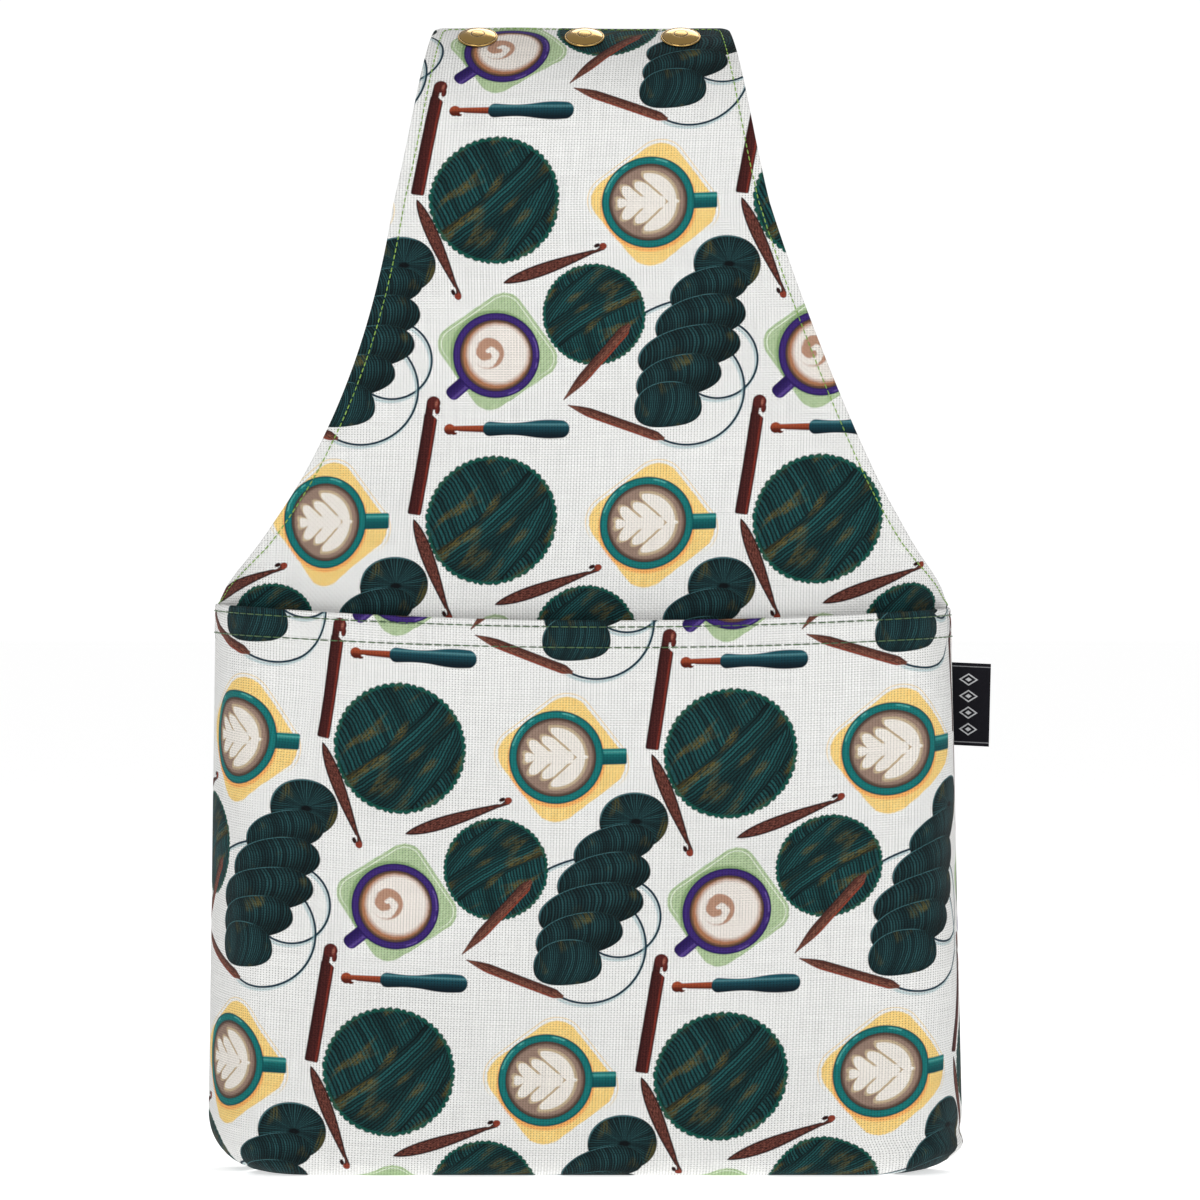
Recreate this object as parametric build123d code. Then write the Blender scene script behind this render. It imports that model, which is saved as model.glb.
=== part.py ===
"""A wrist bag for knitting: two lined cloth panels joined at the sides and under the base, a patch
pocket across the front, and a neck whose two ends lap over each other and close with three snaps.

Frame: millimetres, +Z up, the front faces -Y, and the origin is the middle of the base's underside.
"""
from build123d import *
import os
from math import cos, degrees, exp, pi, radians, sin, sqrt

# ---- driving dimensions -------------------------------------------------------------------------
BASE_HALF = 144.5        # half width just above the rounded lower corners
SEAM_HALF = 141.5        # half width where the side seams end
SEAM_TOP = 216.0         # height of the side seams' upper ends, where the arm openings begin
CORNER_R = 22.0          # radius of the lower corners in the front view
PANEL_DEPTH = 36.0       # half depth
SIDE_SPAN = 22.0         # how far in from each side seam the level sections begin to curve
NECK_HALF = 40.0         # the half width that the arm openings' curves tend to
NECK_FALL = 136.2        # height over which they do so

CLOTH = 1.0              # thickness of the printed canvas
LINING = 0.8             # thickness of the lining
GAP = 0.05               # between layers that lie against each other
SEAM_GAP = 0.025         # half the gap between the front and back halves at the seam

POCKET_SIDE_TOP = 217.0  # height of the pocket's mouth at the side seams
POCKET_SAG = 4.5         # how far it dips at the middle
POCKET_FULLNESS = 6.0    # how far the pocket stands off the front panel

LAP_R = 44.0             # outside radius of the front strap, where it laps over the back strap
LAP_Z = 397.5            # height of that arc's centre
FLAP_END = 75.0          # the front strap's end, in degrees up from the horizontal
FLAP_FOLD = 36.0         # where it folds when the snaps are opened
UNDER_R = 38.3           # outside radius of the back strap, under the front one
UNDER_END = 41.0         # the back strap's end
UNDER_FOLD = 80.0        # where the back strap folds down
FOLD_GAP = 0.2           # half the gap between the two sides of a fold
STRAP_CORNER_R = 5.0     # radius of the straps' end corners

SNAP_X = (-40.0, 1.0, 38.0)  # the three snaps, set by hand and not quite evenly
SNAP_AT = 58.0           # their place on the lap, in degrees
CAP_R = 7.7
CAP_RIM = 0.9
CAP_DOME = 1.3
SOCKET_R = 6.2
SOCKET_H = 2.4
SOCKET_BORE_R = 3.65
SOCKET_ROOF = 0.5
SPRING_WIRE_R = 0.25
SPRING_DROP = 0.55       # from the socket's roof to the spring
STUD_R = 5.8
STUD_BASE_H = 0.7
STUD_NUB_R = 2.4
STUD_NUB_H = 1.7
EYELET_R = 5.8
EYELET_H = 0.8
POST_R = 1.6             # the posts that pass through the cloth

STITCH_INSET = 4.0       # from a finished edge to its row of topstitching
STITCH_FOOT = 6.0        # from the seam's end up to where the neck's topstitching starts
HEM_ROWS = (2.7, 11.0)   # the two rows of the pocket's hem, below its edge
THREAD_W = 0.6
THREAD_H = 0.3
THREAD_LIFT = 0.02       # clear of the cloth

LABEL_Z = (163.0, 195.0)
LABEL_OUT = 14.5         # how far the folded label stands out of the side seam
LABEL_T = 0.9
LABEL_SLIT = 0.25        # between its two leaves
LABEL_CLEAR = 0.35       # from the seam to the label's root

TURN_HALF = 80.0         # half width of the turned-over sheets, before they are cut to shape
FAR = 200.0              # past the object's edges, for cutting shapes

# ---- worked out from them -----------------------------------------------------------------------
COVER = CLOTH + GAP      # one layer of canvas
LAP_Y = LAP_R - (PANEL_DEPTH - COVER)
BACK_ROLL_R = PANEL_DEPTH - LAP_Y
BACK_ROLL_Z = LAP_Z + UNDER_R - BACK_ROLL_R
LAP_CENTRE = Vector(0, LAP_Y, LAP_Z)
FRONT, BACK = -1, 1


def neck_half(s):
    """Half width of the neck at height s, or at distance s along it where it turns over."""
    return NECK_HALF + (SEAM_HALF - NECK_HALF) * exp(-(s - SEAM_TOP) / NECK_FALL)


def neck_edge(s, inset):
    """The neck's half width, less an inset measured square to its edge."""
    slope = (SEAM_HALF - NECK_HALF) / NECK_FALL * exp(-(s - SEAM_TOP) / NECK_FALL)
    return neck_half(s) - inset * sqrt(1 + slope**2)


# ---- body ---------------------------------------------------------------------------------------
def half_body(side, depth, inset, top):
    """The solid half body, inset all round from its outer surface, up to a height."""
    span, reach = SIDE_SPAN - inset, depth - inset
    flat = BASE_HALF - SIDE_SPAN
    section = Rectangle(2 * flat, 2 * reach)
    section += [Pos(x, 0) * Ellipse(span, reach) for x in (-flat, flat)]
    section &= Pos(0, side * (FAR / 2 + SEAM_GAP)) * Rectangle(2 * FAR, FAR)
    column = extrude(section, top)

    lean = (BASE_HALF - SEAM_HALF) / SEAM_TOP * top
    base, upper = BASE_HALF - inset, BASE_HALF - inset - lean
    corners = [(-base, inset), (base, inset), (upper, top), (-upper, top)]
    front_view = make_face(Polyline(*corners, close=True))
    lower = [v for v in front_view.vertices() if v.Y < inset + 1]
    front_view = fillet(lower, CORNER_R - inset)
    return column & extrude(Plane.XZ * front_view, FAR, both=True)


def half_shell(side, depth, inset, thickness, top):
    """A half body's sheet of cloth: its walls and its floor."""
    outer = half_body(side, depth, inset, top)
    inner = half_body(side, depth, inset + thickness, top)
    return outer - inner


def front_outline(rise_z, rise_s):
    """A prism with the front view's outline: all of the body below the arm openings, the neck above.

    rise_z and rise_s are the heights of the outline's points, and their distances along the cloth.
    """
    right = [(neck_half(s), z) for z, s in zip(rise_z, rise_s)]
    left = [(-x, z) for x, z in reversed(right)]
    end_z = right[-1][1] + FAR
    cap = Polyline(right[-1], (right[-1][0], end_z), (left[0][0], end_z), left[0])
    below = Polyline(left[-1], (-FAR, SEAM_TOP), (-FAR, -1), (FAR, -1), (FAR, SEAM_TOP), right[0])
    shape = make_face(Spline(*right) + cap + Spline(*left) + below)
    return extrude(Plane.XZ * shape, FAR, both=True)


def turned_outline(start_z, radius, end_angle):
    """The outline of a half whose neck goes over an arc above start_z."""
    heights = [SEAM_TOP + (start_z - SEAM_TOP) * i / 6 for i in range(7)]
    angles = [radians(end_angle) * i / 3 for i in range(1, 4)]
    rise_z = heights + [start_z + radius * sin(a) for a in angles]
    rise_s = heights + [start_z + radius * a for a in angles]
    return front_outline(rise_z, rise_s)


def front_piece(under, thickness):
    """The front panel or its lining, up to where the front strap folds."""
    walls = half_shell(FRONT, PANEL_DEPTH, COVER + under, thickness, LAP_Z)
    fold = FLAP_FOLD - degrees(FOLD_GAP / LAP_R)
    turn = arc_sheet(LAP_Z, LAP_R - under, thickness, 0, fold)
    return (walls + turn) & turned_outline(LAP_Z, LAP_R, FLAP_FOLD)


def back_piece(under, thickness):
    """The back panel or its lining, over the crown to where the back strap folds down."""
    walls = half_shell(BACK, PANEL_DEPTH, under, thickness, BACK_ROLL_Z)
    fold = UNDER_FOLD + degrees(FOLD_GAP / UNDER_R)
    roll = arc_sheet(BACK_ROLL_Z, BACK_ROLL_R - under, thickness, 180, 90)
    crown = arc_sheet(LAP_Z, UNDER_R - under, thickness, 90, fold)
    return (walls + roll + crown) & turned_outline(BACK_ROLL_Z, BACK_ROLL_R, 85)


# ---- straps -------------------------------------------------------------------------------------
def arc_sheet(centre_z, outer_r, thickness, start, end):
    """A sheet curved about a line along X, between two angles up from the horizontal at the front."""
    def at(radius, angle):
        a = radians(angle)
        return (LAP_Y - radius * cos(a), centre_z + radius * sin(a))

    middle = (start + end) / 2
    inner_r = outer_r - thickness
    outer = ThreePointArc(at(outer_r, start), at(outer_r, middle), at(outer_r, end))
    inner = ThreePointArc(at(inner_r, end), at(inner_r, middle), at(inner_r, start))
    ends = Line(at(outer_r, end), at(inner_r, end)) + Line(at(inner_r, start), at(outer_r, start))
    return extrude(Plane.YZ * make_face(outer + ends + inner), TURN_HALF, both=True)


def strap_plan(radius, root, root_half, end, end_half, inset=0.0):
    """A strap's outline seen from above, from its fold at one angle to its free end, as a prism."""
    y0 = LAP_Y - radius * cos(radians(root))
    outward = -1 if end < root else 1
    y1 = LAP_Y - radius * cos(radians(end)) - outward * inset
    x0, x1 = root_half - inset, end_half - inset
    plan = make_face(Polyline((-x0, y0), (x0, y0), (x1, y1), (-x1, y1), close=True))
    free = [v for v in plan.vertices() if abs(v.Y - y1) < 0.01]
    plan = fillet(free, STRAP_CORNER_R - inset * 0.8)
    return extrude(Pos(0, 0, LAP_Z) * plan, FAR)


def front_strap_plan(inset=0.0):
    root = neck_half(LAP_Z + LAP_R * radians(FLAP_FOLD))
    end = neck_half(LAP_Z + LAP_R * radians(FLAP_END))
    return strap_plan(LAP_R, FLAP_FOLD, root, FLAP_END, end, inset)


def back_strap_plan(inset=0.0):
    crown = BACK_ROLL_Z + BACK_ROLL_R * pi / 2
    root = neck_half(crown + UNDER_R * radians(90 - UNDER_FOLD))
    end = neck_half(crown + UNDER_R * radians(90 - UNDER_END))
    return strap_plan(UNDER_R, UNDER_FOLD, root, UNDER_END, end, inset)


def post_holes(cloth, radius):
    for x in SNAP_X:
        cloth -= lap_plane(x, radius) * Cylinder(POST_R + GAP, 4 * CLOTH + 4 * LINING)
    return cloth


def front_strap_piece(under, thickness):
    fold = FLAP_FOLD + degrees(FOLD_GAP / LAP_R)
    strap = arc_sheet(LAP_Z, LAP_R - under, thickness, fold, FLAP_END) & front_strap_plan()
    return post_holes(strap, LAP_R)


def back_strap_piece(under, thickness):
    fold = UNDER_FOLD - degrees(FOLD_GAP / UNDER_R)
    strap = arc_sheet(LAP_Z, UNDER_R - under, thickness, UNDER_END, fold) & back_strap_plan()
    return post_holes(strap, UNDER_R)


def thread_round(radius, start, end, plan):
    """The row of thread round a strap's free end; plan gives the strap's outline at an inset."""
    row = arc_sheet(LAP_Z, radius + THREAD_LIFT + THREAD_H, THREAD_H, start, end)
    return (row & plan(STITCH_INSET)) - plan(STITCH_INSET + THREAD_W)


def lap_plane(x, radius):
    """A plane tangent to the lap where a snap sits, with its normal outwards."""
    a = radians(SNAP_AT)
    out = Vector(0, -cos(a), sin(a))
    return Plane(LAP_CENTRE + Vector(x, 0, 0) + out * radius, x_dir=(1, 0, 0), z_dir=out)


# ---- snaps --------------------------------------------------------------------------------------
SOCKET_TOP = sqrt((LAP_R - CLOTH - LINING - 3 * GAP) ** 2 - SOCKET_R**2)
EYELET_TOP = sqrt((UNDER_R - CLOTH - LINING - 3 * GAP) ** 2 - EYELET_R**2)


def snap_cap(x):
    """A domed cap with the post that holds the socket behind the cloth."""
    rim = Pos(0, 0, CAP_RIM / 2) * Cylinder(CAP_R, CAP_RIM)
    rim = fillet(rim.edges().group_by(Axis.Z)[0], 0.35)
    sphere_r = (CAP_R**2 + CAP_DOME**2) / (2 * CAP_DOME)
    ball = Pos(0, 0, CAP_RIM + CAP_DOME - sphere_r) * Sphere(sphere_r)
    dome = ball & Pos(0, 0, CAP_RIM + CAP_DOME / 2) * Cylinder(CAP_R, CAP_DOME)
    seat = LAP_R + GAP
    post_len = seat - (SOCKET_TOP - SOCKET_ROOF)
    post = Pos(0, 0, -post_len / 2) * Cylinder(POST_R, post_len)
    return lap_plane(x, seat) * (rim + dome + post)


def snap_socket(x):
    """The ring behind the front strap that the stud presses into."""
    body = Pos(0, 0, -SOCKET_H / 2) * Cylinder(SOCKET_R, SOCKET_H)
    body = fillet(body.edges().group_by(Axis.Z)[0], 0.5)
    bore_h = SOCKET_H - SOCKET_ROOF
    body -= Pos(0, 0, -SOCKET_H + bore_h / 2) * Cylinder(SOCKET_BORE_R, bore_h)
    body -= Cylinder(POST_R + GAP, 3 * SOCKET_ROOF)
    return lap_plane(x, SOCKET_TOP) * body


def snap_spring(x):
    """The split wire ring in the socket that grips the stud's neck."""
    ring_r = SOCKET_BORE_R - SPRING_WIRE_R - GAP
    ring = Torus(ring_r, SPRING_WIRE_R)
    ring -= Pos(ring_r, 0, 0) * Box(2, 1.2, 2)
    return lap_plane(x, SOCKET_TOP - SOCKET_ROOF - SPRING_DROP) * ring


def snap_stud(x):
    """The stud on the back strap: a base disc with a rounded nub."""
    base = Pos(0, 0, STUD_BASE_H / 2) * Cylinder(STUD_R, STUD_BASE_H)
    nub_h = STUD_BASE_H + STUD_NUB_H
    nub = Pos(0, 0, nub_h / 2) * Cylinder(STUD_NUB_R, nub_h)
    nub = fillet(nub.edges().group_by(Axis.Z)[-1], 1.1)
    hollow = Pos(0, 0, STUD_BASE_H / 4) * Cylinder(POST_R + GAP, STUD_BASE_H)
    return lap_plane(x, UNDER_R + GAP) * (base + nub - hollow)


def snap_eyelet(x):
    """The flanged post under the back strap that holds the stud."""
    flange = Pos(0, 0, -EYELET_H / 2) * Cylinder(EYELET_R, EYELET_H)
    flange = fillet(flange.edges().group_by(Axis.Z)[0], 0.35)
    post_h = UNDER_R + GAP + 0.5 * STUD_BASE_H - EYELET_TOP
    post = Pos(0, 0, post_h / 2) * Cylinder(POST_R, post_h)
    mouth = Pos(0, 0, -EYELET_H) * Cylinder(POST_R * 0.6, 2 * EYELET_H)
    return lap_plane(x, EYELET_TOP) * (flange + post - mouth)


# ---- pocket, topstitching and label -------------------------------------------------------------
def mouth_line(drop):
    edge_z, low_z = POCKET_SIDE_TOP - drop, POCKET_SIDE_TOP - POCKET_SAG - drop
    return ThreePointArc((-BASE_HALF, edge_z), (0, low_z), (BASE_HALF, edge_z))


def below_mouth():
    """All that lies below the pocket's mouth in the front view."""
    line = mouth_line(0.0)
    edge = Polyline(line @ 1, (BASE_HALF, -1), (-BASE_HALF, -1), line @ 0)
    return extrude(Plane.XZ * make_face(line + edge), FAR, both=True)


def front_pocket():
    shell = half_shell(FRONT, PANEL_DEPTH + POCKET_FULLNESS, 0.0, CLOTH, POCKET_SIDE_TOP)
    return shell & below_mouth()


def thread_layer(side, depth, inset, top):
    """A layer of thread's thickness on the outside of a half body."""
    return half_shell(side, depth, inset - THREAD_LIFT - THREAD_H, THREAD_H, top)


def thread_band(upper, lower):
    """What lies between two lines of the front view, as a prism."""
    ends = Line(upper @ 0, lower @ 0) + Line(upper @ 1, lower @ 1)
    return extrude(Plane.XZ * make_face(upper + lower + ends), FAR, both=True)


def hem_stitch(drop):
    """One row of the pocket's hem, on its outer face."""
    layer = thread_layer(FRONT, PANEL_DEPTH + POCKET_FULLNESS, 0.0, POCKET_SIDE_TOP)
    return layer & thread_band(mouth_line(drop), mouth_line(drop + THREAD_W))


def neck_stitch(side, hand):
    """The row of thread along one arm opening, on the panel's outer face."""
    foot, top = SEAM_TOP + STITCH_FOOT, LAP_Z - GAP
    heights = [foot + (top - foot) * i / 6 for i in range(7)]
    outer = Spline(*[(hand * neck_edge(z, STITCH_INSET), z) for z in heights])
    inner = Spline(*[(hand * neck_edge(z, STITCH_INSET + THREAD_W), z) for z in heights])
    layer = thread_layer(side, PANEL_DEPTH, COVER if side == FRONT else 0.0, LAP_Z)
    return layer & thread_band(outer, inner)


def side_label():
    """A ribbon folded in two, with its ends towards the seam."""
    middle_z = sum(LABEL_Z) / 2
    root = BASE_HALF - (BASE_HALF - SEAM_HALF) * middle_z / SEAM_TOP + LABEL_CLEAR
    height = LABEL_Z[1] - LABEL_Z[0]
    leaf = Box(LABEL_OUT, LABEL_T, height)
    leaf = fillet(leaf.edges().filter_by(Axis.Z).group_by(Axis.X)[-1], LABEL_T * 0.45)
    slit = Pos(-LABEL_T, 0, 0) * Box(LABEL_OUT, LABEL_SLIT, height + 1)
    return Pos(root + LABEL_OUT / 2, 0, middle_z) * (leaf - slit)


def make_parts():
    parts = {
        "front_panel": front_piece(0.0, CLOTH),
        "front_lining": front_piece(COVER, LINING),
        "front_strap": front_strap_piece(0.0, CLOTH),
        "front_strap_lining": front_strap_piece(COVER, LINING),
        "back_panel": back_piece(0.0, CLOTH),
        "back_lining": back_piece(COVER, LINING),
        "back_strap": back_strap_piece(0.0, CLOTH),
        "back_strap_lining": back_strap_piece(COVER, LINING),
        "front_pocket": front_pocket(),
        "pocket_hem_stitch_upper": hem_stitch(HEM_ROWS[0]),
        "pocket_hem_stitch_lower": hem_stitch(HEM_ROWS[1]),
        "front_strap_stitch": thread_round(LAP_R, FLAP_FOLD + 1, FLAP_END, front_strap_plan),
        "back_strap_stitch": thread_round(UNDER_R, UNDER_END, UNDER_FOLD - 1, back_strap_plan),
        "side_label": side_label(),
    }
    for hand_name, hand in (("left", -1), ("right", 1)):
        parts[f"front_neck_stitch_{hand_name}"] = neck_stitch(FRONT, hand)
        parts[f"back_neck_stitch_{hand_name}"] = neck_stitch(BACK, hand)
    for name, x in zip(("left", "middle", "right"), SNAP_X):
        parts[f"snap_cap_{name}"] = snap_cap(x)
        parts[f"snap_socket_{name}"] = snap_socket(x)
        parts[f"snap_spring_{name}"] = snap_spring(x)
        parts[f"snap_stud_{name}"] = snap_stud(x)
        parts[f"snap_eyelet_{name}"] = snap_eyelet(x)
    return parts


os.makedirs("parts", exist_ok=True)
for node, shape in make_parts().items():
    export_step(shape, f"parts/{node}.step")
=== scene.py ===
from collections import namedtuple
from math import cos, pi, radians, sin

import bmesh
import bpy
import numpy as np
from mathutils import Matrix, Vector


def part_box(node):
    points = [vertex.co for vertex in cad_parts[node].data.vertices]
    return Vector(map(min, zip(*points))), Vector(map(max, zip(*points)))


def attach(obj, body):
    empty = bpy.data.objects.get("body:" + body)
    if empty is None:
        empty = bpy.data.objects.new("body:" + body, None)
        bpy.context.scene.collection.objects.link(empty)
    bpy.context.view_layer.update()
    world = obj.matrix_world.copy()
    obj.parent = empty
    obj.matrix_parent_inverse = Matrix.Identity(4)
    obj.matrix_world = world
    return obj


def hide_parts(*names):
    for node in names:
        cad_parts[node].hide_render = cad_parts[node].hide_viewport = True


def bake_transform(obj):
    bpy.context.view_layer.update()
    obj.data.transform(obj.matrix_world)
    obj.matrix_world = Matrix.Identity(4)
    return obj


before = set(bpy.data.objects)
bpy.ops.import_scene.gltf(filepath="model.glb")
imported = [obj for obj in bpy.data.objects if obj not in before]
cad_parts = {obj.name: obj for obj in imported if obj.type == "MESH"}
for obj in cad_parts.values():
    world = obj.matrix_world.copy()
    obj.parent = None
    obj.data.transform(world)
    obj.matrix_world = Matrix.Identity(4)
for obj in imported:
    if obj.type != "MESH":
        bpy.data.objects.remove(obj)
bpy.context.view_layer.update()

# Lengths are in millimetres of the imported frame: +Z up, the front faces -Y. Meshes are made in metres.
MM = 0.001

# ---- the bag's shape, as its solids have it
BASE_HALF = 144.5
SEAM_HALF = 141.5
SEAM_TOP = 216.0
CORNER_R = 22.0
EDGE_R = 7.0             # rounding of the base's front and back edges
SIDE_SPAN = 22.0         # how far in from a side seam the panels begin to round towards it
NECK_HALF, NECK_FALL = 40.0, 136.2
CLOTH, LINING, GAP = 1.0, 0.8, 0.06
COVER = 1.05             # how far the front panel lies inside the pocket along their shared seams
FRONT_DEPTH = 34.95      # from the side seams to the front panel's outer face
BACK_DEPTH = 36.0
POCKET_DEPTH = 42.0
LAP_Y, LAP_Z = 9.05, 397.5
LAP_R, UNDER_R = 44.0, 38.3
FLAP_FOLD, FLAP_END = 36.0, 75.0
UNDER_END = 41.0
BACK_ROLL_R = BACK_DEPTH - LAP_Y
BACK_ROLL_Z = LAP_Z + UNDER_R - BACK_ROLL_R
STRAP_CORNER_R = 5.0
SNAP_AT = 58.0
STITCH_INSET = 4.0
LINING_MARGIN = 0.7      # how far the lining stops short of the canvas's edge
HEM_ROWS = (2.7, 11.0)

FRONT, BACK = -1, 1
Layer = namedtuple("Layer", "side depth inset")
FRONT_PANEL = Layer(FRONT, FRONT_DEPTH, COVER)
FRONT_LINING = Layer(FRONT, FRONT_DEPTH - CLOTH - GAP, COVER + CLOTH + GAP)
BACK_PANEL = Layer(BACK, BACK_DEPTH, 0.0)
BACK_LINING = Layer(BACK, BACK_DEPTH - CLOTH - GAP, CLOTH + GAP)
POCKET = Layer(FRONT, POCKET_DEPTH, 0.0)

FRONT_END = LAP_Z + LAP_R * radians(FLAP_END)
BACK_CROWN = BACK_ROLL_Z + BACK_ROLL_R * pi / 2
BACK_END = BACK_CROWN + UNDER_R * radians(90 - UNDER_END)

# ---- camera, floor and light
VIEW_X, VIEW_Z = 7.0, 219.0
VIEW_DISTANCE = 2300.0   # from the camera to the plane of the snaps
VIEW_PLANE_Y = -10.0
VIEW_WIDTH = 462.0       # what the picture's width holds in that plane
SENSOR = 36.0


def set_values(shader, **values):
    """Sets a shader's sockets to plain values; an underscore in a name stands for a space."""
    for name, value in values.items():
        shader.inputs[name.replace("_", " ")].default_value = value


def make_camera():
    data = bpy.data.cameras.new("camera")
    data.sensor_width = SENSOR
    data.lens = SENSOR * VIEW_DISTANCE / VIEW_WIDTH
    camera = bpy.data.objects.new("camera", data)
    camera.location = Vector((VIEW_X, VIEW_PLANE_Y - VIEW_DISTANCE, VIEW_Z)) * MM
    camera.rotation_euler = (pi / 2, 0, 0)
    bpy.context.collection.objects.link(camera)
    bpy.context.scene.camera = camera


def make_floor():
    mesh = bpy.data.meshes.new("floor")
    reach = 30.0
    corners = [(-reach, -reach, 0), (reach, -reach, 0), (reach, reach, 0), (-reach, reach, 0)]
    mesh.from_pydata(corners, [], [(0, 1, 2, 3)])
    floor = bpy.data.objects.new("floor", mesh)
    bpy.context.collection.objects.link(floor)
    material = bpy.data.materials.new("floor_white")
    material.use_nodes = True
    shader = material.node_tree.nodes["Principled BSDF"]
    set_values(shader, Base_Color=(0.93, 0.93, 0.93, 1), Roughness=0.9, Specular_IOR_Level=0.1)
    set_values(shader, Emission_Color=(1, 1, 1, 1), Emission_Strength=0.62)
    mesh.materials.append(material)


def make_light(name, place, size, power):
    """A soft box at a place, aimed at the middle of the bag."""
    data = bpy.data.lights.new(name, "AREA")
    data.shape = "DISK"
    data.size = size
    data.energy = power
    light = bpy.data.objects.new(name, data)
    light.location = place
    target = Vector((0, 0, 0.22))
    light.rotation_euler = (target - light.location).to_track_quat("-Z", "Y").to_euler()
    bpy.context.collection.objects.link(light)


def make_surroundings():
    make_floor()
    world = bpy.data.worlds.new("studio")
    bpy.context.scene.world = world
    world.use_nodes = True
    nodes, links = world.node_tree.nodes, world.node_tree.links
    glow, page = nodes["Background"], nodes.new("ShaderNodeBackground")
    set_values(glow, Strength=0.40)
    set_values(page, Strength=1.05)
    for background in (glow, page):
        set_values(background, Color=(1, 1, 1, 1))
    rays, blend = nodes.new("ShaderNodeLightPath"), nodes.new("ShaderNodeMixShader")
    links.new(rays.outputs["Is Camera Ray"], blend.inputs[0])
    links.new(glow.outputs[0], blend.inputs[1])
    links.new(page.outputs[0], blend.inputs[2])
    links.new(blend.outputs[0], nodes["World Output"].inputs["Surface"])
    make_light("key", (-0.7, -2.1, 1.9), 1.2, 18.5)
    make_light("fill", (1.3, -2.1, 1.0), 1.4, 8)
    make_light("rim", (0.3, 1.6, 1.9), 1.4, 14)
    bpy.context.scene.view_settings.view_transform = "Standard"


make_camera()
make_surroundings()

# ---- the cloth's surface
# A point of a panel is given by u, the distance across it from its middle, and s, the distance up it.
# s equals the height where the panel stands upright; below it runs in under the base, above it turns over.


def rise(value, start, end):
    t = np.clip((value - start) / (end - start), 0, 1)
    return t * t * (3 - 2 * t)


def neck_half(s):
    """Half the neck's width: it falls away from the side seams, a little fuller right above them."""
    fuller = 1.6 * np.exp(-(((s - 227) / 9) ** 2)) * rise(s, SEAM_TOP, SEAM_TOP + 8) - 1.0 * rise(s, 236, 268)
    return NECK_HALF + (SEAM_HALF - NECK_HALF) * np.exp(-(s - SEAM_TOP) / NECK_FALL) + fuller


def drift(x, z):
    """How far the sewn bag pulls to its right: its neck stands a little over, that side bulges low down."""
    neck = 3.7 * np.sin(np.clip((z - SEAM_TOP) / 155, 0, 1) * pi)
    side = 1.0 + 1.8 * (1 - np.clip(z / SEAM_TOP, 0, 1)) + 5.0 * rise(CORNER_R - z, 6, 14)
    return neck + np.clip(x / BASE_HALF, 0, 1) ** 2 * side * rise(z, 235, 205)


def half_width(layer, z):
    upper = np.clip(z, 0, SEAM_TOP) / SEAM_TOP
    corner = CORNER_R - layer.inset
    below = np.clip(CORNER_R - z, 0, corner)
    return BASE_HALF + (SEAM_HALF - BASE_HALF) * upper - CORNER_R + np.sqrt(corner**2 - below**2)


def floor_start(layer):
    """s where a layer has wholly turned in under the base, and s at its seam there."""
    radius = EDGE_R - layer.inset
    turned = EDGE_R - radius * pi / 2
    return turned, turned - (layer.depth - radius)


def side_profile(layer, s):
    """The layer's middle line in the side view: its y, outwards, and its z."""
    radius = EDGE_R - layer.inset
    turned, _ = floor_start(layer)
    edge = np.clip((EDGE_R - s) / radius, 0, pi / 2)
    y = layer.depth - radius + radius * np.cos(edge) - np.clip(turned - s, 0, None)
    z = np.where(s > EDGE_R, s, EDGE_R - radius * np.sin(edge))
    if layer.side == FRONT:
        offset = layer.depth - FRONT_DEPTH
        turn = np.clip((s - LAP_Z) / LAP_R, 0, None)
        y = np.where(s > LAP_Z, -LAP_Y + (LAP_R + offset) * np.cos(turn), y)
        z = np.where(s > LAP_Z, LAP_Z + (LAP_R + offset) * np.sin(turn), z)
    else:
        offset = layer.depth - BACK_DEPTH
        turn = np.clip((s - BACK_ROLL_Z) / BACK_ROLL_R, 0, pi / 2)
        over = np.clip((s - BACK_CROWN) / UNDER_R, 0, None)
        y = np.where(s > BACK_ROLL_Z, LAP_Y + (BACK_ROLL_R + offset) * np.cos(turn), y)
        z = np.where(s > BACK_ROLL_Z, BACK_ROLL_Z + (BACK_ROLL_R + offset) * np.sin(turn), z)
        y = np.where(s > BACK_CROWN, LAP_Y - (UNDER_R + offset) * np.sin(over), y)
        z = np.where(s > BACK_CROWN, LAP_Z + (UNDER_R + offset) * np.cos(over), z)
    return y, z


def ellipse_table(layer):
    """Distances along the rounded side of a layer's level section, with the angles they fall at."""
    angle = np.linspace(0, pi, 721)
    across = (SIDE_SPAN - layer.inset) * np.sin(angle)
    steps = np.hypot(np.diff(across), np.diff(layer.depth * np.cos(angle)))
    return np.concatenate([[0], np.cumsum(steps)]), angle


def bare_point(layer, u, s):
    y_mid, z = side_profile(layer, s)
    along, angle = ellipse_table(layer)
    span = SIDE_SPAN - layer.inset
    flat = half_width(layer, z) - span
    turn = np.interp(np.abs(u) - flat, along, angle)
    x = np.sign(u) * (np.minimum(np.abs(u), flat) + span * np.sin(turn))
    x = x + drift(x, z)
    return np.stack([x, layer.side * y_mid * np.cos(turn), z], axis=-1)


def outward(layer, u, s):
    """The layer's outward normal."""
    step = 0.2
    across = bare_point(layer, u + step, s) - bare_point(layer, u - step, s)
    up = bare_point(layer, u, s + step) - bare_point(layer, u, s - step)
    normal = -layer.side * np.cross(across, up)
    size = np.linalg.norm(normal, axis=-1, keepdims=True)
    return np.where(size > 1e-9, normal / np.maximum(size, 1e-9), (0, 0, -1))


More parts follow.
